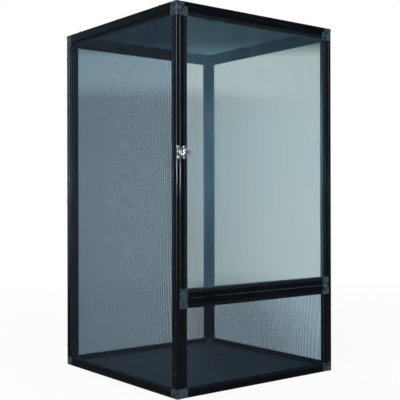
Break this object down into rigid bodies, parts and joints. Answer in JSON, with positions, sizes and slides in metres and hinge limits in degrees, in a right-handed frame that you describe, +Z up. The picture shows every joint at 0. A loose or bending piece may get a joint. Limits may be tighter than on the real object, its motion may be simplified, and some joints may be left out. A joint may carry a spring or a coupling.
{
  "type": "reptile terrarium",
  "caption": "Tall framed screen cage for reptiles: black bars with grey corner keys, insect screen panels, a clear swing door with a toggle catch and a solid floor.",
  "frame": {"origin": "middle of the outline of the whole cage, latch included, on the surface it stands on", "axes": "+Z up; the door and the lower front panel face -Y; the door's hinge is at +X and its catch at -X"},
  "size_m": [0.4532, 0.4594, 0.8016],
  "materials": {
    "frame_bar": "satin black anodised extrusion with fine draw lines",
    "corner_key": "moulded grey-green plastic with a light grain",
    "screen_cloth": "dark coated insect screen, fine plain weave",
    "door_pane": "clear sheet with a faint cool haze",
    "spline_cord": "matte black cord and gasket",
    "floor_board": "dark foamed board with a speckled, finely pebbled face",
    "latch_nickel": "bright nickel plate",
    "panel_screw": "blackened pan-head screw",
    "hinge_steel": "plain turned steel",
    "nylon_washer": "natural nylon"
  },
  "bodies": {
    "cage": {"left_front_stile": "frame_bar", "left_back_stile": "frame_bar", "left_top_rail": "frame_bar", "left_bottom_rail": "frame_bar", "left_corner_keys": "corner_key", "left_screen": "screen_cloth", "left_spline": "spline_cord", "right_front_stile": "frame_bar", "right_back_stile": "frame_bar", "right_top_rail": "frame_bar", "right_bottom_rail": "frame_bar", "right_corner_keys": "corner_key", "right_screen": "screen_cloth", "right_spline": "spline_cord", "back_left_stile": "frame_bar", "back_right_stile": "frame_bar", "back_top_rail": "frame_bar", "back_bottom_rail": "frame_bar", "back_corner_keys": "corner_key", "back_screen": "screen_cloth", "back_spline": "spline_cord", "lower_left_stile": "frame_bar", "lower_right_stile": "frame_bar", "lower_top_rail": "frame_bar", "lower_bottom_rail": "frame_bar", "lower_corner_keys": "corner_key", "lower_screen": "screen_cloth", "lower_spline": "spline_cord", "lid_front_rail": "frame_bar", "lid_back_rail": "frame_bar", "lid_left_rail": "frame_bar", "lid_right_rail": "frame_bar", "lid_corner_keys": "corner_key", "lid_screen": "screen_cloth", "lid_spline": "spline_cord", "floor_board": "floor_board", "side_floor_ledges": "frame_bar", "end_floor_ledges": "frame_bar", "door_stop": "frame_bar", "hinge_pin_top": "hinge_steel", "hinge_pin_bottom": "hinge_steel", "hinge_washer": "nylon_washer", "left_panel_screws": "panel_screw", "right_panel_screws": "panel_screw", "lid_screws": "panel_screw", "keeper_plate": "latch_nickel", "keeper_screws": "latch_nickel"},
    "door": {"door_left_stile": "frame_bar", "door_right_stile": "frame_bar", "door_top_rail": "frame_bar", "door_bottom_rail": "frame_bar", "door_corner_keys": "corner_key", "door_pane": "door_pane", "door_gasket": "spline_cord", "latch_base": "latch_nickel", "latch_screws": "latch_nickel", "latch_pin": "latch_nickel"},
    "lever": {"latch_lever": "latch_nickel"},
    "bail": {"latch_bail": "latch_nickel"}
  },
  "joints": [
    {"name": "door_swing", "type": "hinge", "parent": "cage", "child": "door", "pos_m": [0.2081, -0.21635, 0.4955], "axis": [0, 0, 1], "range_deg": [0, 120]},
    {"name": "latch_lever_turn", "type": "hinge", "parent": "door", "child": "lever", "pos_m": [-0.209, -0.22455, 0.495], "axis": [0, 0, -1], "range_deg": [0, 120]},
    {"name": "latch_bail_turn", "type": "hinge", "parent": "lever", "child": "bail", "pos_m": [-0.204, -0.22455, 0.495], "axis": [0, 0, -1], "range_deg": [-140, 0]}
  ],
  "couplings": [
    {"joint": "latch_bail_turn", "follows": "latch_lever_turn", "ratio": -1.15}
  ]
}
